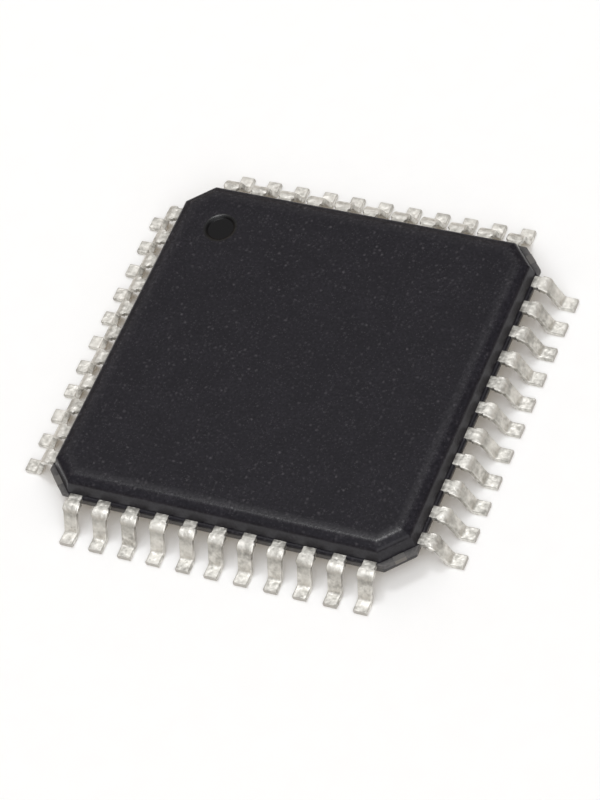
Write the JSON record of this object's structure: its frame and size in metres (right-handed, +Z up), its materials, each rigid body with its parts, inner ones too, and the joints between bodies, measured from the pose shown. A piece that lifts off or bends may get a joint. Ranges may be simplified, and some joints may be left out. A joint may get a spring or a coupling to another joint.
{
  "type": "microcontroller chip",
  "caption": "Thin square surface-mount chip: dark moulded resin body with chamfered corners and a round pin 1 mark, bent tinned leads on all sides, and a wired silicon die sealed inside.",
  "frame": {"origin": "middle of the seating plane that the lead feet stand on", "axes": "+Z up out of the top face; +X along the front side, with the pin 1 mark at the back left corner"},
  "size_m": [0.012, 0.012, 0.0012],
  "materials": {
    "moulding_resin": "matte black filled epoxy with fine pale specks",
    "tinned_lead": "satin matte tin plate over copper",
    "frame_copper": "rolled copper alloy, bare",
    "silver_epoxy": "cured silver-filled epoxy",
    "silicon": "polished silicon",
    "gold_wire": "drawn fine gold wire"
  },
  "bodies": {
    "root": {"moulded_body": "moulding_resin", "die_pad": "frame_copper", "die_attach": "silver_epoxy", "die": "silicon", "bond_wires": "gold_wire", "lead_01": "tinned_lead", "lead_02": "tinned_lead", "lead_03": "tinned_lead", "lead_04": "tinned_lead", "lead_05": "tinned_lead", "lead_06": "tinned_lead", "lead_07": "tinned_lead", "lead_08": "tinned_lead", "lead_09": "tinned_lead", "lead_10": "tinned_lead", "lead_11": "tinned_lead", "lead_12": "tinned_lead", "lead_13": "tinned_lead", "lead_14": "tinned_lead", "lead_15": "tinned_lead", "lead_16": "tinned_lead", "lead_17": "tinned_lead", "lead_18": "tinned_lead", "lead_19": "tinned_lead", "lead_20": "tinned_lead", "lead_21": "tinned_lead", "lead_22": "tinned_lead", "lead_23": "tinned_lead", "lead_24": "tinned_lead", "lead_25": "tinned_lead", "lead_26": "tinned_lead", "lead_27": "tinned_lead", "lead_28": "tinned_lead", "lead_29": "tinned_lead", "lead_30": "tinned_lead", "lead_31": "tinned_lead", "lead_32": "tinned_lead", "lead_33": "tinned_lead", "lead_34": "tinned_lead", "lead_35": "tinned_lead", "lead_36": "tinned_lead", "lead_37": "tinned_lead", "lead_38": "tinned_lead", "lead_39": "tinned_lead", "lead_40": "tinned_lead", "lead_41": "tinned_lead", "lead_42": "tinned_lead", "lead_43": "tinned_lead", "lead_44": "tinned_lead"}
  },
  "joints": []
}
